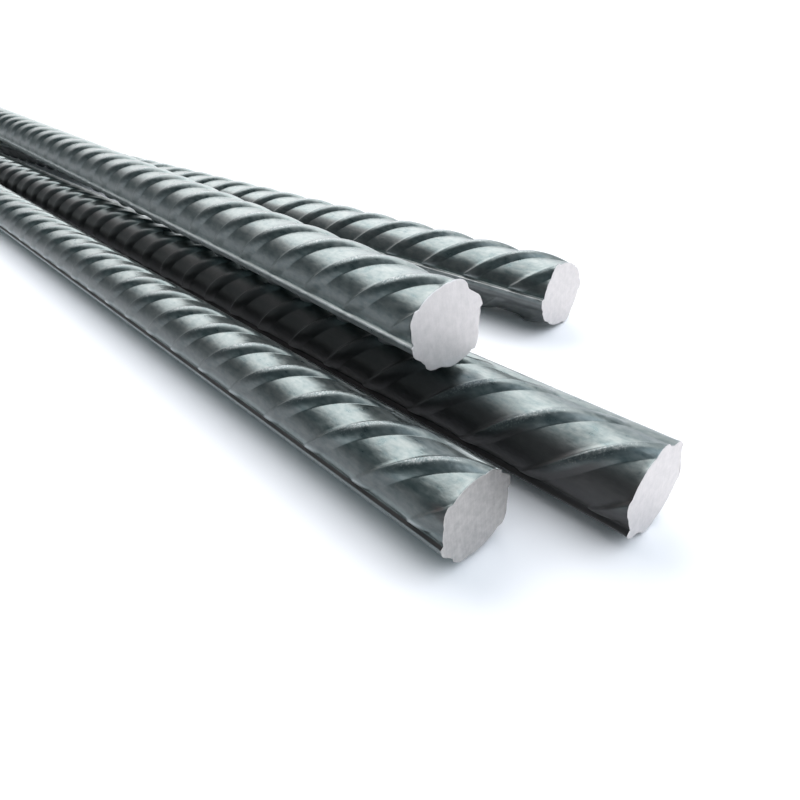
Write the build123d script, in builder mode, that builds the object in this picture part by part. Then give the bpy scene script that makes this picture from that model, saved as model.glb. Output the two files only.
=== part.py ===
"""Four loose reinforcing bars: three lie on the ground and the fourth rests across two of them.

Millimetres, +Z up, with the origin on the ground under the middle of the bundle. The sawn ends that
stand forward are at +X, and the bars run back towards -X. Every bar is one rolled piece of the same
stock. Its section is the one over its ribs: two crest arcs, which the slanting ribs reach, and the two
ridges that run along the bar where those arcs meet.
"""

import os
from math import cos, radians, sin, sqrt, tan

from build123d import *

# Bar stock
BAR_LENGTH = 1000.0
CORE_DIAMETER = 31.0
RIB_HEIGHT = 2.2
RIDGE_HEIGHT = 2.3
RIDGE_WIDTH = 4.0
RIDGE_ROUND = 0.8

# Turn of each bar about its own length: from level to its ridge line, seen from the sawn ends
FRONT_LEFT_TURN = 13.0
FRONT_RIGHT_TURN = 36.0
BACK_TURN = -7.0
TOP_TURN = 12.0

# How the bars lie: gaps are between the bars' sides, seats and overhangs run along a bar
SEAT_CLEARANCE = 0.3
FRONT_GAP_NEAR = 11.8
FRONT_RIGHT_AHEAD = 35.5
BACK_BEHIND = 103.5
BACK_GAP_NEAR = 57.5
BACK_GAP_FAR = 11.5
TOP_SEAT_FROM_CUT = 187.0
TOP_SEAT_FROM_BACK_END = 36.0
TOP_OVERHANG = 103.0

# The top bar is sawn out of square: its end face looks a little up and towards the front left bar
TOP_CUT_UP = 4.8
TOP_CUT_ASIDE = 3.9

# Sizes that follow from the stock
CORE_RADIUS = CORE_DIAMETER / 2
CREST_RADIUS = CORE_RADIUS + RIB_HEIGHT
ARC_RADIUS = (CORE_RADIUS**2 + CREST_RADIUS**2) / (2 * CREST_RADIUS)
ARC_OFFSET = CREST_RADIUS - ARC_RADIUS
RIDGE_TIP = CORE_RADIUS + RIDGE_HEIGHT


def reach(turn, direction):
    """How far a bar's section reaches from its axis in a direction, both in degrees from level."""
    along_ridge = abs(cos(radians(direction - turn)))
    across_ridge = abs(sin(radians(direction - turn)))
    over_arcs = ARC_RADIUS + ARC_OFFSET * across_ridge
    over_ridge = (RIDGE_TIP - RIDGE_ROUND) * along_ridge
    over_ridge += (RIDGE_WIDTH / 2 - RIDGE_ROUND) * across_ridge + RIDGE_ROUND
    return max(over_arcs, over_ridge)


def half_height(turn):
    """Height of a bar's axis above what it lies on."""
    return reach(turn, 90)


def spacing(first_turn, second_turn, gap):
    """Distance between the axes of two bars that lie side by side with a gap between them."""
    return reach(first_turn, 0) + gap + reach(second_turn, 0)


def toward(start, end, distance):
    """The point at a distance from start, on the line through end."""
    return start + (end - start).normalized() * distance


def side_of(near, far):
    """Level direction square to a bar, to the right as the bar runs away."""
    return (far - near).cross(Vector(0, 0, 1)).normalized()


def bar_plane(near, far, turn):
    """Plane of a bar's near section: its normal runs to the far end and its X along the ridge line."""
    axis = (far - near).normalized()
    side = side_of(near, far)
    up = side.cross(axis)
    ridge_line = side * cos(radians(turn)) + up * sin(radians(turn))
    return Plane(origin=near, x_dir=ridge_line, z_dir=axis)


# Ends of the three axes on the ground, from the front left bar's near end
left_near = Vector(0, 0, half_height(FRONT_LEFT_TURN))
left_far = left_near - Vector(BAR_LENGTH, 0, 0)

right_height = half_height(FRONT_RIGHT_TURN)
right_near_y = spacing(FRONT_LEFT_TURN, FRONT_RIGHT_TURN, FRONT_GAP_NEAR)
right_far_y = spacing(FRONT_LEFT_TURN, FRONT_RIGHT_TURN, SEAT_CLEARANCE)
right_run = sqrt(BAR_LENGTH**2 - (right_near_y - right_far_y) ** 2)
right_near = Vector(FRONT_RIGHT_AHEAD, right_near_y, right_height)
right_far = Vector(FRONT_RIGHT_AHEAD - right_run, right_far_y, right_height)

back_height = Vector(0, 0, half_height(BACK_TURN) - right_height)
beside_right = toward(right_near, right_far, BACK_BEHIND)
back_offset_near = Vector(0, spacing(FRONT_RIGHT_TURN, BACK_TURN, BACK_GAP_NEAR), 0)
back_offset_far = Vector(0, spacing(FRONT_RIGHT_TURN, BACK_TURN, BACK_GAP_FAR), 0)
back_near = beside_right + back_offset_near + back_height
back_far = toward(back_near, right_far + back_offset_far + back_height, BAR_LENGTH)

# The top bar's axis runs through its two seats, one over the front right bar and one over the back bar
right_seat = toward(right_near, right_far, TOP_SEAT_FROM_CUT)
right_seat += Vector(0, 0, right_height + SEAT_CLEARANCE + half_height(TOP_TURN))
back_seat = toward(back_far, back_near, TOP_SEAT_FROM_BACK_END)
back_seat += Vector(0, 0, half_height(BACK_TURN) + SEAT_CLEARANCE + half_height(TOP_TURN))
top_near = toward(right_seat, back_seat, -TOP_OVERHANG)
top_far = toward(top_near, back_seat, BAR_LENGTH)

# The bundle's box on the ground: the front left bar and the back bar make its sides
back_side = side_of(back_near, back_far) * reach(BACK_TURN, 0)
right_side = side_of(right_near, right_far) * reach(FRONT_RIGHT_TURN, 0)
box_front = right_near.X + abs(right_side.X)
box_back = back_far.X - abs(back_side.X)
box_left = left_near.Y - reach(FRONT_LEFT_TURN, 0)
box_right = back_near.Y + abs(back_side.Y)
middle = Vector((box_front + box_back) / 2, (box_left + box_right) / 2, 0)

with BuildSketch() as section:
    with Locations((0, ARC_OFFSET), (0, -ARC_OFFSET)):
        Circle(ARC_RADIUS)
    Rectangle(2 * RIDGE_TIP, RIDGE_WIDTH)
    ridge_corners = section.vertices().group_by(Axis.X)
    fillet(ridge_corners[0] + ridge_corners[-1], RIDGE_ROUND)

with BuildPart() as front_left:
    with BuildSketch(bar_plane(left_near - middle, left_far - middle, FRONT_LEFT_TURN)):
        add(section.sketch)
    extrude(amount=BAR_LENGTH)

with BuildPart() as front_right:
    with BuildSketch(bar_plane(right_near - middle, right_far - middle, FRONT_RIGHT_TURN)):
        add(section.sketch)
    extrude(amount=BAR_LENGTH)

with BuildPart() as back:
    with BuildSketch(bar_plane(back_near - middle, back_far - middle, BACK_TURN)):
        add(section.sketch)
    extrude(amount=BAR_LENGTH)

# The top bar is drawn past its near end, then sawn off by the slanting plane
top_plane = bar_plane(top_near - middle, top_far - middle, TOP_TURN)
top_side = side_of(top_near, top_far)
cut_normal = top_plane.z_dir
cut_normal += top_side * tan(radians(TOP_CUT_ASIDE))
cut_normal -= top_side.cross(top_plane.z_dir) * tan(radians(TOP_CUT_UP))
cut_margin = 2 * RIDGE_TIP * (tan(radians(TOP_CUT_ASIDE)) + tan(radians(TOP_CUT_UP)))

with BuildPart() as top:
    with BuildSketch(top_plane.offset(-cut_margin)):
        add(section.sketch)
    extrude(amount=cut_margin + BAR_LENGTH)
    split(bisect_by=Plane(origin=top_plane.origin, z_dir=cut_normal), keep=Keep.TOP)

front_left.part.label = "front_left_bar"
front_right.part.label = "front_right_bar"
back.part.label = "back_bar"
top.part.label = "top_bar"

os.makedirs("parts", exist_ok=True)
export_step(front_left.part, "parts/front_left_bar.step")
export_step(front_right.part, "parts/front_right_bar.step")
export_step(back.part, "parts/back_bar.step")
export_step(top.part, "parts/top_bar.step")
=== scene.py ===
"""Looks of a loose bundle of ribbed reinforcing bars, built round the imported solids.

Every bar is one rolled mesh: a grid wrapped round the bar's axis, sheared so that its rows follow the
slanting ribs, raised into ribs and ridges, and sawn off by planes at both ends.
"""

import logging
import math
from dataclasses import dataclass, field
from enum import Enum

import bmesh
import bpy
from mathutils import Matrix, Vector, noise


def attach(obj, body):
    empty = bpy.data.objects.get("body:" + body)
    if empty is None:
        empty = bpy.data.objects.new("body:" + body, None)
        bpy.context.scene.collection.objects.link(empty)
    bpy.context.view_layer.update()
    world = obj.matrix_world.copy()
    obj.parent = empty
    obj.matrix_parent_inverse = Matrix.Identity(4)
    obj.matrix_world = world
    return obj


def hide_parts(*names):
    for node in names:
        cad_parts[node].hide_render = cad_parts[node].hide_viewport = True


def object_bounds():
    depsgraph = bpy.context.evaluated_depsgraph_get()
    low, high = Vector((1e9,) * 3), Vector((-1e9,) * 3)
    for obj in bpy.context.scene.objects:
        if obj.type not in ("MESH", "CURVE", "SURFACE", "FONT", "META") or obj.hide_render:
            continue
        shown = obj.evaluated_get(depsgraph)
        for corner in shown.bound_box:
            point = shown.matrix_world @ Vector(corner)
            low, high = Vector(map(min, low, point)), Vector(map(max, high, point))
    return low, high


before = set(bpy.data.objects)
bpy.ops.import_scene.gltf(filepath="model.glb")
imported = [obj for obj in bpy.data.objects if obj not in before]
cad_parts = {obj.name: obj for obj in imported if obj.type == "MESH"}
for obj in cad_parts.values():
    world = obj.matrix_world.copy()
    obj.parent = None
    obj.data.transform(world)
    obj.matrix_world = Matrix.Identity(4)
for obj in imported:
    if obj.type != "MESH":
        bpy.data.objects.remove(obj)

MM = 0.001
PLACE = "bar_place"
RELIEF = "relief"
CRUST_AND_SHADE = "crust_and_shade"
WEAR_AND_HIGHLIGHT = "wear_and_highlight"
CAD_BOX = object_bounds()
log = logging.getLogger("rebar_bundle")


def linear(hex_colour: str) -> tuple[float, float, float, float]:
    """Turn an sRGB hex colour into a linear one.

    Args:
        hex_colour: Six hex digits after a hash.

    Returns:
        Linear red, green, blue and an alpha of 1.
    """
    shares = [int(hex_colour[i:i + 2], 16) / 255 for i in (1, 3, 5)]
    red, green, blue = (c / 12.92 if c <= 0.04045 else ((c + 0.055) / 1.055) ** 2.4 for c in shares)
    return (red, green, blue, 1.0)


def add_node(tree: bpy.types.NodeTree, kind: str, inputs: dict | None = None, **settings) -> bpy.types.Node:
    """Add a shader node with its settings, values and links.

    Args:
        tree: Node tree that takes the node.
        kind: Blender's identifier of the node.
        inputs: Input name or number to a value, or to the output socket that feeds it.
        **settings: Properties of the node itself.

    Returns:
        The new node.
    """
    node = tree.nodes.new(kind)
    for name, value in settings.items():
        setattr(node, name, value)
    for key, value in (inputs or {}).items():
        if isinstance(value, bpy.types.NodeSocket):
            tree.links.new(value, node.inputs[key])
        else:
            node.inputs[key].default_value = value
    return node


def set_stops(ramp: bpy.types.Node, stops: list[tuple[float, tuple[float, float, float, float]]]) -> None:
    """Give a colour ramp its stops.

    Args:
        ramp: The colour ramp node.
        stops: Position and linear colour of each stop, in order.
    """
    elements = ramp.color_ramp.elements
    while len(elements) < len(stops):
        elements.new(1.0)
    for element, (position, colour) in zip(elements, stops):
        element.position = position
        element.color = colour


def smooth_step(low: float, high: float, value: float) -> float:
    """Rise smoothly from 0 at low to 1 at high."""
    share = min(max((value - low) / (high - low), 0.0), 1.0)
    return share * share * (3 - 2 * share)


def ramp(low: float, high: float, value: float) -> float:
    """Rise from 0 at low to 1 at high, straight with eased corners."""
    share = min(max((value - low) / (high - low), 0.0), 1.0)
    return 0.5 * (share + smooth_step(0.0, 1.0, share))


def band(rise: tuple[float, float], fall: tuple[float, float], value: float) -> float:
    """Rise smoothly from 0 to 1 over one range, and fall back to 0 over another."""
    return smooth_step(*rise, value) * (1 - smooth_step(*fall, value))


class End(Enum):
    """The two sawn ends of a bar."""

    NEAR = 0
    FAR = 1


@dataclass(frozen=True)
class MillScaleSteel:
    """Hot-rolled steel under its skin of blue-grey mill scale, rubbed through and crusted in places, with
    painted highlight and shade.

    Ranges and shares run from 0 to 1. The mesh's own attributes say where it is rubbed and crusted, and where
    highlight and shade are painted.
    """

    # Rolling leaves a thin oxide skin: the eye sees dark, half bright metal with broad soft highlights,
    # clouded and streaked along the bar, pale where its edges are rubbed and matt where scale lies thick. The
    # pale colour also paints highlights along ridge edges and the seam, and the dark scale colour paints
    # shade in corners and on sheltered sides.
    # The grit of real scale is about 0.2 mm, too fine to show in the render, so it is drawn coarser.
    name: str = "mill_scale_steel"
    dark: str = "#5c696a"
    mid: str = "#7e8685"
    dulled: str = "#4f595b"
    fleck: str = "#b5b7b7"
    # Also painted highlight: this pale colour lays highlights along a ridge's top edge and along the seam.
    worn: str = "#cfd3d4"
    # Also painted shade: this dark colour lays shade in the corners under the ridges and on sides that other
    # bars shelter.
    crust_and_shade_colour: str = "#474545"
    metallic: float = 0.94
    roughness_low: float = 0.24
    roughness_high: float = 0.4
    roughness_heavy: float = 0.54
    mottle_mm: float = 5.0
    streak_mm: float = 1.6
    streak_stretch: float = 0.35
    grit_mm: float = 0.7
    grit_depth_mm: float = 0.06
    grit_strength: float = 0.5
    scale_depth_mm: float = 0.2
    scale_strength: float = 0.6
    tone_range: tuple[float, float] = (0.37, 0.63)
    sheen_range: tuple[float, float] = (0.3, 0.7)
    crest_range: tuple[float, float] = (0.5, 0.95)
    crest_share: float = 0.55
    fleck_range: tuple[float, float] = (0.47, 0.6)
    fleck_share: float = 0.35

    def material(self) -> bpy.types.Material:
        """Build the material.

        Returns:
            The new material.
        """
        material = bpy.data.materials.new(self.name)
        material.use_nodes = True
        tree = material.node_tree
        tree.nodes.clear()
        place = add_node(tree, "ShaderNodeAttribute", attribute_name=PLACE).outputs["Vector"]
        relief = add_node(tree, "ShaderNodeAttribute", attribute_name=RELIEF).outputs["Fac"]
        mottle = add_node(tree, "ShaderNodeTexNoise",
                          {"Vector": place, "Scale": 1 / (self.mottle_mm * MM), "Detail": 6.0,
                           "Roughness": 0.62})
        stretched = add_node(tree, "ShaderNodeMapping",
                             {"Vector": place, "Scale": (1, 1, self.streak_stretch)})
        streak = add_node(tree, "ShaderNodeTexNoise",
                          {"Vector": stretched.outputs[0], "Scale": 1 / (self.streak_mm * MM), "Detail": 3.0})
        grit = add_node(tree, "ShaderNodeTexNoise",
                        {"Vector": place, "Scale": 1 / (self.grit_mm * MM), "Detail": 4.0, "Roughness": 0.6})
        cloud = add_node(tree, "ShaderNodeMath", {0: mottle.outputs["Fac"], 1: streak.outputs["Fac"]},
                         operation="ADD")
        half = add_node(tree, "ShaderNodeMath", {0: cloud.outputs[0], 1: 0.5}, operation="MULTIPLY")
        tone = add_node(tree, "ShaderNodeValToRGB", {"Fac": half.outputs[0]})
        set_stops(tone, list(zip(self.tone_range, (linear(self.dark), linear(self.mid)))))
        crest = add_node(tree, "ShaderNodeMapRange",
                         {"Value": relief, "From Min": self.crest_range[0], "From Max": self.crest_range[1],
                          "To Max": self.crest_share})
        specks = add_node(tree, "ShaderNodeMath", {0: relief, 1: grit.outputs["Fac"]}, operation="MULTIPLY")
        flecked = add_node(tree, "ShaderNodeMapRange",
                           {"Value": specks.outputs[0], "From Min": self.fleck_range[0],
                            "From Max": self.fleck_range[1], "To Max": self.fleck_share})
        wear_and_highlight = add_node(tree, "ShaderNodeAttribute", attribute_name=WEAR_AND_HIGHLIGHT).outputs["Fac"]
        crust_and_shade = add_node(tree, "ShaderNodeAttribute", attribute_name=CRUST_AND_SHADE).outputs["Fac"]
        colour = tone.outputs["Color"]
        # Over the tone: dulled crests, pale flecks, rubbed wear with painted highlights, and dark scale with
        # painted shade.
        layers = ((crest.outputs[0], self.dulled), (flecked.outputs[0], self.fleck),
                  (wear_and_highlight, self.worn), (crust_and_shade, self.crust_and_shade_colour))
        for share, layer in layers:
            colour = add_node(tree, "ShaderNodeMix", {0: share, 6: colour, 7: linear(layer)},
                              data_type="RGBA").outputs[2]
        sheen = add_node(tree, "ShaderNodeMapRange",
                         {"Value": half.outputs[0], "From Min": self.sheen_range[0],
                          "From Max": self.sheen_range[1], "To Min": self.roughness_low,
                          "To Max": self.roughness_high})
        rough = add_node(tree, "ShaderNodeMix", {0: crust_and_shade, 2: sheen.outputs[0], 3: self.roughness_heavy})
        fine = add_node(tree, "ShaderNodeBump",
                        {"Height": grit.outputs["Fac"], "Strength": self.grit_strength,
                         "Distance": self.grit_depth_mm * MM})
        scaly = add_node(tree, "ShaderNodeBump",
                         {"Height": half.outputs[0], "Strength": self.scale_strength,
                          "Distance": self.scale_depth_mm * MM, "Normal": fine.outputs[0]})
        shader = add_node(tree, "ShaderNodeBsdfPrincipled",
                          {"Base Color": colour, "Metallic": self.metallic, "Roughness": rough.outputs[0],
                           "Normal": scaly.outputs[0]})
        add_node(tree, "ShaderNodeOutputMaterial", {"Surface": shader.outputs[0]})
        return material


@dataclass(frozen=True)
class SawnSteel:
    """Steel scraped clean as the saw leaves it: fresh, or weathered and darkened as painted shade, by its
    colours.
    """

    # The saw scrapes the metal bare: the eye sees a pale satin face, blotched, with faint lines where the
    # teeth passed. Real lines are about 0.3 mm apart, too fine to show in the render, so they are drawn
    # coarser.
    name: str = "sawn_steel"
    pale: str = "#d7d3d2"
    dull: str = "#c9c6c5"
    roughness: float = 0.5
    tooth_mm: float = 0.8
    tooth_stretch: float = 0.05
    tooth_share: float = 0.35
    tooth_depth_mm: float = 0.03
    tooth_strength: float = 0.2
    cloud_mm: float = 3.5
    tone_range: tuple[float, float] = (0.5, 0.84)

    def material(self) -> bpy.types.Material:
        """Build the material.

        Returns:
            The new material.
        """
        material = bpy.data.materials.new(self.name)
        material.use_nodes = True
        tree = material.node_tree
        tree.nodes.clear()
        place = add_node(tree, "ShaderNodeAttribute", attribute_name=PLACE).outputs["Vector"]
        passes = add_node(tree, "ShaderNodeMapping",
                          {"Vector": place, "Scale": (1, self.tooth_stretch, 1)})
        lines = add_node(tree, "ShaderNodeTexNoise",
                         {"Vector": passes.outputs[0], "Scale": 1 / (self.tooth_mm * MM), "Detail": 3.0})
        cloud = add_node(tree, "ShaderNodeTexNoise",
                         {"Vector": place, "Scale": 1 / (self.cloud_mm * MM), "Detail": 6.0,
                          "Roughness": 0.66})
        both = add_node(tree, "ShaderNodeMath",
                        {0: lines.outputs["Fac"], 1: self.tooth_share, 2: cloud.outputs["Fac"]},
                        operation="MULTIPLY_ADD")
        tone = add_node(tree, "ShaderNodeValToRGB", {"Fac": both.outputs[0]})
        set_stops(tone, list(zip(self.tone_range, (linear(self.dull), linear(self.pale)))))
        score = add_node(tree, "ShaderNodeBump",
                         {"Height": lines.outputs["Fac"], "Strength": self.tooth_strength,
                          "Distance": self.tooth_depth_mm * MM})
        shader = add_node(tree, "ShaderNodeBsdfPrincipled",
                          {"Base Color": tone.outputs["Color"], "Metallic": 1.0, "Roughness": self.roughness,
                           "Normal": score.outputs[0]})
        add_node(tree, "ShaderNodeOutputMaterial", {"Surface": shader.outputs[0]})
        return material


@dataclass(frozen=True)
class RolledStock:
    """Section and ribs of the bar stock, in millimetres and degrees.

    Angles run round the bar from one ridge, so the ridges are at 0 and 180 and the rib rows between.
    A ridge's flank is steep before its top and gentle past it.
    """

    core_radius: float = 15.5
    rib_height: float = 2.2
    ridge_half_angle: float = 5.6
    ridge_steep_foot: float = 8.6
    ridge_gentle_foot: float = 21.0
    rib_pitch: float = 29.25
    rib_slant: float = 0.33
    row_margin: float = 15.0
    pitches_per_turn: int = 4
    flank_near: tuple[float, float] = (-7.6, -0.8)
    flank_far: tuple[float, float] = (1.2, 3.0)
    foot_far: tuple[float, float] = (1.2, 11.0)
    flank_far_share: float = 0.76
    edge_rise: tuple[float, float] = (2.4, 4.4)
    edge_fall: tuple[float, float] = (6.0, 7.4)
    tip_rise: tuple[float, float] = (9.0, 13.0)
    tip_fall: tuple[float, float] = (16.0, 26.0)
    corner_rise: tuple[float, float] = (4.9, 6.4)
    corner_fall: tuple[float, float] = (7.6, 8.8)
    row_offsets: tuple[float, ...] = (
        -8.0, -7.6, -7.1, -6.4, -5.6, -4.7, -3.8, -2.9, -1.9, -0.9, 0.4, 1.1, 1.5, 2.0, 2.6, 3.1, 5.0, 8.0,
        11.0, 15.0)
    column_angles: tuple[float, ...] = (
        0, 2.8, 4.8, 5.6, 6.2, 6.8, 7.2, 7.6, 8.1, 8.6, 9.6, 11.4, 13.6, 16.0, 18.6, 21.0)
    column_step: float = 3.8

    def columns(self) -> list[float]:
        """Angles of the grid's columns, close together at the ridges.

        Returns:
            The angles in rising order, over one full turn.
        """
        quarter = list(self.column_angles)
        steps = round((90 - quarter[-1]) / self.column_step)
        start = quarter[-1]
        quarter += [start + (90 - start) * (i + 1) / steps for i in range(steps)]
        half = quarter + [180 - angle for angle in reversed(quarter[:-1])]
        return half + [180 + angle for angle in half[1:]]

    def shear(self, angles: list[float]) -> list[float]:
        """How far along the bar a row has run at each angle.

        Args:
            angles: Column angles over one turn.

        Returns:
            Millimetres along the bar for each angle, a whole number of pitches after the turn.
        """
        in_rows = 2 * (180 - 2 * self.row_margin)
        rest = self.pitches_per_turn * self.rib_pitch - in_rows * self.rib_slant
        over_ridges = rest / (4 * self.row_margin)
        runs = [0.0]
        for first, second in zip(angles, angles[1:]):
            middle = ((first + second) / 2) % 180
            slope = self.rib_slant
            if not self.row_margin < middle < 180 - self.row_margin:
                slope = over_ridges
            runs.append(runs[-1] + (second - first) * slope)
        return runs

    def crest_height(self, angle: float) -> float:
        """Height of a rib's crest over the core: full half way between the ridges, nothing at them.

        Args:
            angle: Angle round the bar.

        Returns:
            Millimetres over the core.
        """
        crest = self.core_radius + self.rib_height
        arc = (self.core_radius ** 2 + crest ** 2) / (2 * crest)
        offset = crest - arc
        turned = math.radians(angle)
        reach = offset * abs(math.sin(turned)) + math.sqrt(arc ** 2 - (offset * math.cos(turned)) ** 2)
        return reach - self.core_radius

    def rib_share(self, offset: float) -> float:
        """Share of the crest height on the way across a rib.

        Args:
            offset: Millimetres along the bar from the crest's middle.

        Returns:
            A share from 0 to 1.
        """
        low, high = self.flank_near
        climbed = min(max((offset - low) / (high - low), 0.0), 1.0)
        fallen = self.flank_far_share * ramp(*self.flank_far, offset)
        fallen += (1 - self.flank_far_share) * smooth_step(*self.foot_far, offset)
        return math.sin(climbed * math.pi / 2) * (1 - fallen)

    @staticmethod
    def past_ridge(angle: float) -> float:
        """Degrees past the middle of the nearest ridge, from -90 to 90."""
        return (angle + 90) % 180 - 90

    def ridge_share(self, angle: float) -> float:
        """Share of the ridge height: the flank on the steep side falls off sooner.

        Args:
            angle: Angle round the bar.

        Returns:
            A share from 0 to 1.
        """
        past = self.past_ridge(angle)
        foot = self.ridge_steep_foot if past < 0 else self.ridge_gentle_foot
        return 1 - ramp(self.ridge_half_angle, foot, abs(past))

    def edge_highlight_share(self, angle: float) -> float:
        """Share of the painted highlight on the edge where a ridge's top meets its steep flank."""
        return band(self.edge_rise, self.edge_fall, -self.past_ridge(angle))

    def tip_share(self, angle: float) -> float:
        """Share of the knob in which a rib runs out beside a ridge."""
        return band(self.tip_rise, self.tip_fall, abs(self.past_ridge(angle)))

    def corner_shade_share(self, angle: float) -> float:
        """Share of the painted shade, in the dark scale colour, in the corner at the foot of a ridge's steep
        flank.
        """
        return band(self.corner_rise, self.corner_fall, -self.past_ridge(angle))


@dataclass
class Bar:
    """One bar of the bundle: its axis in metres, its turn, where its ribs start, and its own marks.

    Marks are placed by degrees from level round the bar and millimetres from its near end. A dark arc, scale
    with painted shade, is where it starts, is full, ends and is gone, and its share. A smudge, scale with
    painted shade too, is its middle both ways and its half sizes both ways. The seam is its middle and
    height, and a burr lobe its middle, half width and height.
    """

    node: str
    near: tuple[float, float, float]
    far: tuple[float, float, float]
    turn: float
    first_rib: float
    stock: RolledStock
    near_cut: tuple[float, float, float] | None = None
    # Arcs and smudges of the dark scale colour are also painted shade, on sides that other bars shelter and
    # beside the near ends.
    crust_and_shade_arcs: tuple[tuple[float, float, float, float, float], ...] = ()
    smudges_and_shade: tuple[tuple[float, float, float, float], ...] = ()
    seam: tuple[float, float] | None = None
    ridge_wear: float = 0.0
    # The edge mark paints a highlight along the top edge of a ridge's steep flank.
    edge_highlight: float = 0.0
    # The corner mark paints shade, in the dark scale colour, into the corner at the foot of each ridge's
    # steep flank.
    corner_shade: float = 1.0
    tip_wear: float = 0.4
    tip_height: float = 0.5
    ridge_height: float = 1.5
    # Such ends take a darker copy of the sawn finish, weathered and painted with shade.
    aged_shaded_ends: bool = False
    burr_mm: float = 0.35
    burr_base: float = 0.45
    burr_fine: tuple[float, float] = (9.0, 0.35)
    burr_broad: tuple[float, float] = (2.2, 0.65)
    burr_spread: float = 7.0
    burr_lobes: tuple[tuple[float, float, float], ...] = ()
    lobe_core: float = 0.4
    rim_mm: float = 0.3
    burr_steps: tuple[float, ...] = (0.35, 0.8, 1.5, 2.4)
    reference_angle: float = 120.0
    spare_mm: float = 12.0
    weld_mm: float = 0.005
    cut_mm: float = 0.002
    wave_mm: float = 0.06
    wave_length: float = 9.0
    patch_length: float = 4.0
    patch_base: float = 0.7
    patch_swing: float = 0.6
    # The seam mark paints the seam's fin pale as a highlight.
    seam_highlight: float = 0.3
    seam_fade: float = 0.25
    seam_fade_run: tuple[float, float] = (40.0, 80.0)
    sheltered_run: tuple[float, float] = (60.0, 110.0)
    # Where other bars shelter a side, the painted shade reaches further round it.
    sheltered_shade_spread: float = 16.0
    sheltered_shade_limit: float = 160.0
    rubbed_relief: tuple[float, float] = (0.5, 1.0)
    rubbed_share: float = 0.55
    smudge_core: float = 0.4
    obj: bpy.types.Object | None = field(default=None)

    @property
    def axis(self) -> Vector:
        """Direction from the near end to the far end."""
        return (Vector(self.far) - Vector(self.near)).normalized()

    @property
    def length(self) -> float:
        """Length along the axis, in millimetres."""
        return (Vector(self.far) - Vector(self.near)).length / MM

    def section_axes(self) -> tuple[Vector, Vector]:
        """Directions of the section's ridge line and of the line square to it.

        Returns:
            The direction at angle 0 and the direction at angle 90.
        """
        side = self.axis.cross(Vector((0, 0, 1))).normalized()
        up = side.cross(self.axis)
        turned = math.radians(self.turn)
        ridge = side * math.cos(turned) + up * math.sin(turned)
        across = up * math.cos(turned) - side * math.sin(turned)
        return ridge, across

    def build(self) -> bpy.types.Object:
        """Roll the bar's mesh and saw off its ends.

        Returns:
            The bar's object.
        """
        bm = bmesh.new()
        place = bm.verts.layers.float_vector.new(PLACE)
        relief = bm.verts.layers.float.new(RELIEF)
        crust_and_shade = bm.verts.layers.float.new(CRUST_AND_SHADE)
        wear_and_highlight = bm.verts.layers.float.new(WEAR_AND_HIGHLIGHT)
        self.roll(bm, place, relief, crust_and_shade, wear_and_highlight)
        bmesh.ops.remove_doubles(bm, verts=bm.verts[:], dist=self.weld_mm * MM)
        self.saw(bm, End.NEAR)
        self.saw(bm, End.FAR)
        bmesh.ops.recalc_face_normals(bm, faces=bm.faces[:])
        mesh = bpy.data.meshes.new(self.node + "_rolled")
        bm.to_mesh(mesh)
        bm.free()
        self.obj = bpy.data.objects.new("ribbed_" + self.node, mesh)
        bpy.context.scene.collection.objects.link(self.obj)
        return self.obj

    def roll(self, bm: bmesh.types.BMesh, place: bmesh.types.BMLayerItem, relief: bmesh.types.BMLayerItem,
             crust_and_shade: bmesh.types.BMLayerItem, wear_and_highlight: bmesh.types.BMLayerItem) -> None:
        """Wrap a grid round the axis and raise its ribs and ridges.

        Args:
            bm: Mesh to build in.
            place: Vertex layer for the place in the bar's own section.
            relief: Vertex layer for how far the surface stands over the core.
            crust_and_shade: Vertex layer for how thick the scale is and how deep the painted shade is.
            wear_and_highlight: Vertex layer for how far the surface is rubbed through and how strong the
                painted highlight is.
        """
        stock = self.stock
        angles = stock.columns()
        runs = stock.shear(angles)
        per_pitch = len(stock.row_offsets)
        reference = (self.reference_angle - self.turn) % 360
        run_there = self.interpolate(angles, runs, reference)
        first_crest = self.first_rib - run_there
        lowest = -runs[-1] - self.spare_mm
        first_pitch = math.floor((lowest - first_crest) / stock.rib_pitch)
        pitches = math.ceil((self.length + runs[-1] + 2 * self.spare_mm) / stock.rib_pitch) + 1
        rows = pitches * per_pitch
        columns = len(angles) - 1
        bmesh.ops.create_grid(bm, x_segments=columns, y_segments=rows, size=1.0)
        heights = [stock.crest_height(angle) for angle in angles]
        ridges = [stock.ridge_share(angle) for angle in angles]
        edges = [stock.edge_highlight_share(angle) for angle in angles]
        corners = [stock.corner_shade_share(angle) for angle in angles]
        tips = [stock.tip_share(angle) for angle in angles]
        shares = [stock.rib_share(offset) for offset in stock.row_offsets]
        ridge, across = self.section_axes()
        near, axis = Vector(self.near), self.axis
        directions = [(math.cos(math.radians(a)), math.sin(math.radians(a))) for a in angles]
        for vert in bm.verts:
            column = round((vert.co.x + 1) / 2 * columns)
            row = round((vert.co.y + 1) / 2 * rows)
            pitch, step = divmod(row, per_pitch)
            along = (first_crest + (first_pitch + pitch) * stock.rib_pitch
                     + stock.row_offsets[step] + runs[column])
            tip = tips[column] * shares[step]
            rib = heights[column] * shares[step] + self.tip_height * tip
            ridge_rise = self.ridge_height * ridges[column]
            fin = self.seam_rise(angles[column] + self.turn, along)
            rise = max(rib, ridge_rise, fin)
            radius = stock.core_radius + rise
            x, y = directions[column]
            local = Vector((x * radius, y * radius, along))
            wave = noise.noise(local / self.wave_length + Vector((self.turn, 0, 0)))
            radius -= self.wave_mm * (0.5 + 0.5 * wave)
            vert.co = near + (ridge * x + across * y) * (radius * MM) + axis * (along * MM)
            level = math.radians(angles[column] + self.turn)
            vert[place] = Vector((math.cos(level) * radius, math.sin(level) * radius, along)) * MM
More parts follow.
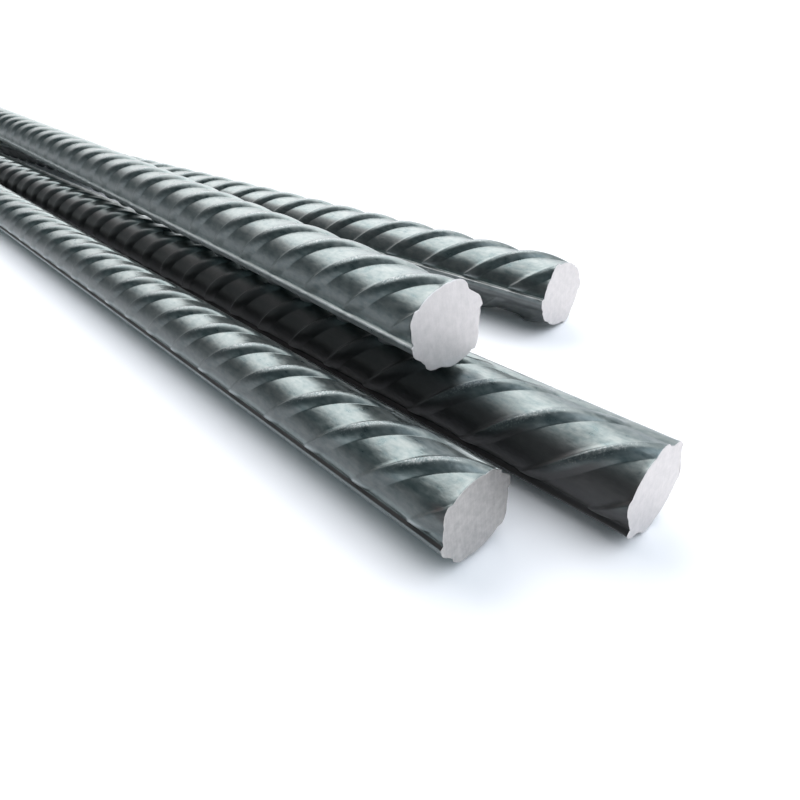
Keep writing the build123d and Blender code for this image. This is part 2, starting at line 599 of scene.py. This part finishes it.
            vert[relief] = rib / stock.rib_height
            # Pale share: rubbed ridge tops and rib tips, and painted highlights along ridge edges and on the
            # seam.
            patchy = self.patch_base + self.patch_swing * noise.noise(local / self.patch_length)
            wear_and_highlight_share = max(self.ridge_wear * ridges[column] ** 3, self.edge_highlight * edges[column],
                       self.seam_highlight * fin, self.tip_wear * tip ** 2)
            vert[wear_and_highlight] = min(max(wear_and_highlight_share * patchy, 0.0), 1.0)
            # Dark share: scale with painted shade in the corners under the ridges and on sides that other
            # bars shelter, lifted on rib crests near the near end.
            scaly = self.crust_and_shade_at(angles[column] + self.turn, along)
            rubbed = smooth_step(*self.rubbed_relief, rib / stock.rib_height)
            rubbed *= 1 - smooth_step(*self.sheltered_run, along)
            vert[crust_and_shade] = max(self.corner_shade * corners[column], scaly * (1 - self.rubbed_share * rubbed))

    def seam_rise(self, angle: float, along: float) -> float:
        """Height of the rolling seam: a low fin, worn down further along.

        Args:
            angle: Degrees from level.
            along: Millimetres from the near end.

        Returns:
            Millimetres over the core.
        """
        if not self.seam:
            return 0.0
        middle, height = self.seam
        flat = self.stock.column_step / 2
        fin = 1 - (abs(angle % 360 - middle) - flat) / self.stock.column_step
        worn = self.seam_fade * smooth_step(*self.seam_fade_run, along)
        return height * min(max(fin, 0.0), 1.0) * (1 - worn)

    def crust_and_shade_at(self, angle: float, along: float) -> float:
        """Weight of the dark scale and painted shade, which reaches higher where the other bars shelter the
        side.

        Args:
            angle: Degrees from level.
            along: Millimetres from the near end.

        Returns:
            A weight from 0 to 1.
        """
        weight = 0.0
        for middle, place, half_angle, half_length in self.smudges_and_shade:
            apart = math.hypot((angle % 360 - middle) / half_angle, (along - place) / half_length)
            weight = max(weight, 1 - smooth_step(self.smudge_core, 1.0, apart))
        spread = self.sheltered_shade_spread * smooth_step(*self.sheltered_run, along)
        for start, full, end, gone, share in self.crust_and_shade_arcs:
            lower = spread if start < self.sheltered_shade_limit else 0.0
            arc = band((start - lower, full - lower), (end, gone), angle % 360)
            weight = max(weight, share * arc)
        return weight

    @staticmethod
    def interpolate(angles: list[float], runs: list[float], angle: float) -> float:
        """Read a value off a table of angles.

        Args:
            angles: Angles in rising order.
            runs: Value at each angle.
            angle: Angle to read at.

        Returns:
            The value there.
        """
        for first, second, low, high in zip(angles, angles[1:], runs, runs[1:]):
            if first <= angle <= second:
                return low + (high - low) * (angle - first) / (second - first)
        return runs[-1]

    def saw(self, bm: bmesh.types.BMesh, end: End) -> None:
        """Cut one end off square, or along the bar's slanting cut, and close it.

        Args:
            bm: Mesh to cut.
            end: Which end.
        """
        if end is End.NEAR:
            point = Vector(self.near)
            normal = Vector(self.near_cut) if self.near_cut else -self.axis
        else:
            point = Vector(self.far)
            normal = self.axis
        for step in (*reversed(self.burr_steps), 0.0):
            geometry = bm.verts[:] + bm.edges[:] + bm.faces[:]
            cut = bmesh.ops.bisect_plane(bm, geom=geometry, dist=self.cut_mm * MM, plane_no=normal,
                                         plane_co=point - normal * (step * MM), clear_outer=step == 0.0)
        self.raise_burr(bm, point, normal)
        loop = [item for item in cut["geom_cut"] if isinstance(item, bmesh.types.BMEdge)]
        filled = bmesh.ops.contextual_create(bm, geom=loop)
        for face in bm.faces:
            if face.material_index == 0:
                face.smooth = True
        rim = bmesh.ops.inset_region(bm, faces=filled["faces"], thickness=self.rim_mm * MM, depth=0.0)
        for face in filled["faces"] + rim["faces"]:
            face.material_index = 1
            face.smooth = False
        for edge in loop:
            edge.smooth = False
        for vert in {vert for edge in loop for vert in edge.verts}:
            vert.co -= normal * (self.rim_mm / 2 * MM)

    def raise_burr(self, bm: bmesh.types.BMesh, point: Vector, normal: Vector) -> None:
        """Push the last millimetres before a cut outwards, unevenly, as the saw leaves them.

        Args:
            bm: Mesh that has just been cut.
            point: Middle of the cut.
            normal: Direction out of the bar there.
        """
        reach = self.burr_steps[-1] * MM
        fine, fine_share = self.burr_fine
        broad, broad_share = self.burr_broad
        for vert in bm.verts:
            depth = (point - vert.co).dot(normal)
            if depth > reach:
                continue
            out = vert.co - point - normal * (vert.co - point).dot(normal)
            out.normalize()
            ragged = noise.noise(out * fine) * fine_share
            ragged += noise.noise(out * broad + point * self.burr_spread) * broad_share
            lift = self.burr_mm * (self.burr_base + ragged) + self.lobe_at(out)
            lift *= (1 - max(depth, 0.0) / reach) ** 2
            moved = vert.co + out * (lift * MM)
            vert.co = [min(max(at, low), high) for at, low, high in zip(moved, *CAD_BOX)]

    def lobe_at(self, out: Vector) -> float:
        """Extra lift of the burr's larger lobes.

        Args:
            out: Direction out from the axis.

        Returns:
            Millimetres of lift.
        """
        side = self.axis.cross(Vector((0, 0, 1))).normalized()
        angle = math.degrees(math.atan2(out.dot(side.cross(self.axis)), out.dot(side)))
        lift = 0.0
        for middle, width, height in self.burr_lobes:
            apart = abs((angle - middle + 180) % 360 - 180)
            lift += height * (1 - smooth_step(self.lobe_core * width, width, apart))
        return lift

    def dress(self, scale: bpy.types.Material, sawn: bpy.types.Material) -> None:
        """Give the bar its finishes and tie it to the frame.

        Args:
            scale: Finish of the rolled surface.
            sawn: Finish of the ends.
        """
        self.obj.data.materials.append(scale)
        self.obj.data.materials.append(sawn)
        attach(self.obj, "root")
        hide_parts(self.node)


@dataclass(frozen=True)
class SoftBox:
    """A soft lamp far off, which glows in the directions where every one of its windows is open.

    A window is a direction, and how far a look has to run along it for the window to be shut and open.
    """

    colour: tuple[float, float, float]
    strength: float
    windows: tuple[tuple[tuple[float, float, float], float, float], ...]

    def background(self, tree: bpy.types.NodeTree, direction: bpy.types.NodeSocket) -> bpy.types.Node:
        """Add the lamp's glow to the world.

        Args:
            tree: The world's node tree.
            direction: Direction that is looked in.

        Returns:
            The background node.
        """
        glow = self.strength
        for towards, shut, opened in self.windows:
            facing = add_node(tree, "ShaderNodeVectorMath", {0: direction, 1: towards},
                              operation="DOT_PRODUCT")
            window = add_node(tree, "ShaderNodeMapRange",
                              {"Value": facing.outputs["Value"], "From Min": shut, "From Max": opened},
                              interpolation_type="SMOOTHSTEP")
            glow = add_node(tree, "ShaderNodeMath", {0: window.outputs[0], 1: glow},
                            operation="MULTIPLY").outputs[0]
        return add_node(tree, "ShaderNodeBackground", {"Color": (*self.colour, 1.0), "Strength": glow})


@dataclass
class Studio:
    """White floor, soft light from behind and above, and the photograph's camera.

    The boxes are, in order, a broad one high behind the bars, one high over their sawn ends, a fill from in
    front, a dim glow round the horizon and a low one behind the bars.
    """

    floor_size: float = 60.0
    floor_colour: str = "#fdfdfe"
    ambient: tuple[float, float, float] = (0.095, 0.13, 0.14)
    boxes: tuple[SoftBox, ...] = (
        SoftBox((1.03, 0.985, 0.985), 4.1, (
            ((0.0, 1.0, 1.0), 0.05, 0.72), ((0.6, 0.8, 0.0), 0.65, 0.15), ((-0.8, 0.6, 0.0), 0.05, 0.4),
            ((0.0, 0.0, 1.0), -0.1, 0.55), ((0.0, 0.0, 1.0), 0.98, 0.77))),
        SoftBox((0.93, 0.98, 1.07), 2.45, (((0.55, 0.3, 0.78), 0.75, 0.95),)),
        SoftBox((0.92, 0.98, 1.1), 0.26, (((0.848, -0.349, 0.399), 0.55, 0.95),)),
        SoftBox((0.9, 1.0, 1.0), 0.24, (((0.0, 0.0, 1.0), 0.5, 0.0),)),
        SoftBox((0.97, 0.98, 1.03), 0.86, (((0.0, 1.0, 0.0), 0.3, 0.8), ((0.0, 0.0, 1.0), 0.5, 0.2))))
    camera_place: tuple[float, float, float] = (0.61972, -0.17132, 0.1733)
    camera_right: tuple[float, float, float] = (0.6688, 0.7332, -0.1233)
    camera_up: tuple[float, float, float] = (-0.3701, 0.4721, 0.8002)
    lens_mm: float = 29.07
    sensor_mm: float = 36.0
    nearest_m: float = 0.01
    farthest_m: float = 200.0

    def lay_floor(self) -> None:
        """Lay the floor under the bars: matt white paper, on which the eye sees only soft shadows."""
        bm = bmesh.new()
        bmesh.ops.create_grid(bm, x_segments=1, y_segments=1, size=self.floor_size / 2)
        mesh = bpy.data.meshes.new("floor")
        bm.to_mesh(mesh)
        bm.free()
        floor = bpy.data.objects.new("floor", mesh)
        bpy.context.scene.collection.objects.link(floor)
        material = bpy.data.materials.new("white_floor")
        material.use_nodes = True
        tree = material.node_tree
        tree.nodes.clear()
        lit = add_node(tree, "ShaderNodeBsdfDiffuse", {"Color": linear(self.floor_colour)})
        add_node(tree, "ShaderNodeOutputMaterial", {"Surface": lit.outputs[0]})
        mesh.materials.append(material)

    def light(self) -> None:
        """Light the scene by a dim room and the soft boxes, all far off in the world."""
        world = bpy.data.worlds.new("studio")
        bpy.context.scene.world = world
        world.use_nodes = True
        tree = world.node_tree
        tree.nodes.clear()
        direction = add_node(tree, "ShaderNodeTexCoord").outputs["Generated"]
        light = add_node(tree, "ShaderNodeBackground", {"Color": (*self.ambient, 1.0)})
        for box in self.boxes:
            lamp = box.background(tree, direction)
            light = add_node(tree, "ShaderNodeAddShader", {0: light.outputs[0], 1: lamp.outputs[0]})
        add_node(tree, "ShaderNodeOutputWorld", {"Surface": light.outputs[0]})

    def set_camera(self) -> None:
        """Place the camera where the photograph was taken."""
        data = bpy.data.cameras.new("camera")
        data.lens = self.lens_mm
        data.sensor_width = self.sensor_mm
        data.clip_start = self.nearest_m
        data.clip_end = self.farthest_m
        right, up = Vector(self.camera_right).normalized(), Vector(self.camera_up).normalized()
        turn = Matrix((right, up, right.cross(up))).transposed()
        camera = bpy.data.objects.new("camera", data)
        camera.matrix_world = Matrix.Translation(self.camera_place) @ turn.to_4x4()
        bpy.context.scene.collection.objects.link(camera)
        bpy.context.scene.camera = camera
        bpy.context.scene.view_settings.view_transform = "Standard"


def bundle(stock: RolledStock) -> list[Bar]:
    """The four bars of the bundle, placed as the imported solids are.

    Args:
        stock: The stock that every bar is cut from.

    Returns:
        The bars, not built yet.
    """
    return [
        Bar("front_left_bar", (0.515725, -0.068706, 0.017647), (-0.484275, -0.068706, 0.017647),
            turn=13.0, first_rib=24.0, stock=stock, aged_shaded_ends=True, seam=(41.7, 1.5),
            crust_and_shade_arcs=((132.0, 146.0, 166.0, 178.0, 0.5),), smudges_and_shade=((142.0, 1.0, 12.0, 9.0),),
            burr_lobes=((25.0, 14.0, 0.8), (206.0, 14.0, 0.2))),
        Bar("front_right_bar", (0.551225, -0.022423, 0.017306), (-0.448709, -0.033923, 0.017306),
            turn=36.0, first_rib=14.9, stock=stock, ridge_wear=0.5, ridge_height=2.28,
            crust_and_shade_arcs=((110.0, 146.0, 230.0, 260.0, 0.92),), smudges_and_shade=((165.0, 0.0, 34.0, 2.6),)),
        Bar("back_bar", (0.447732, 0.068556, 0.017685), (-0.550301, 0.005865, 0.017685),
            turn=-7.0, first_rib=5.5, stock=stock, ridge_wear=0.3, edge_highlight=0.8, corner_shade=0.4,
            crust_and_shade_arcs=((132.0, 146.0, 156.0, 164.0, 0.55), (171.5, 175.5, 240.0, 262.0, 0.6))),
        Bar("top_bar", (0.467166, -0.028403, 0.052478), (-0.532142, 0.008783, 0.053339),
            turn=12.0, first_rib=23.2, stock=stock, near_cut=(0.991065, -0.104704, 0.082629),
            ridge_wear=0.25, edge_highlight=1.0, corner_shade=0.2, tip_wear=0.1, tip_height=0.0, burr_mm=0.3,
            crust_and_shade_arcs=((128.0, 144.0, 175.0, 181.0, 0.4),),
            burr_lobes=((168.0, 24.0, 0.9), (215.0, 30.0, 0.8), (282.0, 40.0, 1.2), (16.0, 30.0, 0.8),
                        (66.0, 30.0, 0.9))),
    ]


def main() -> None:
    """Build the studio and the bars."""
    logging.basicConfig(level=logging.INFO)
    studio = Studio()
    studio.lay_floor()
    studio.light()
    studio.set_camera()
    scale = MillScaleSteel().material()
    sawn = SawnSteel().material()
    # The darker copy of the sawn finish is weathered and painted with shade.
    aged_and_shaded = SawnSteel(name="aged_shaded_sawn_steel", pale="#c6c3c0", dull="#afacaa").material()
    for bar in bundle(RolledStock()):
        bar.build()
        bar.dress(scale, aged_and_shaded if bar.aged_shaded_ends else sawn)
        log.info("%s: %d faces", bar.obj.name, len(bar.obj.data.polygons))


if __name__ == "__main__":
    main()
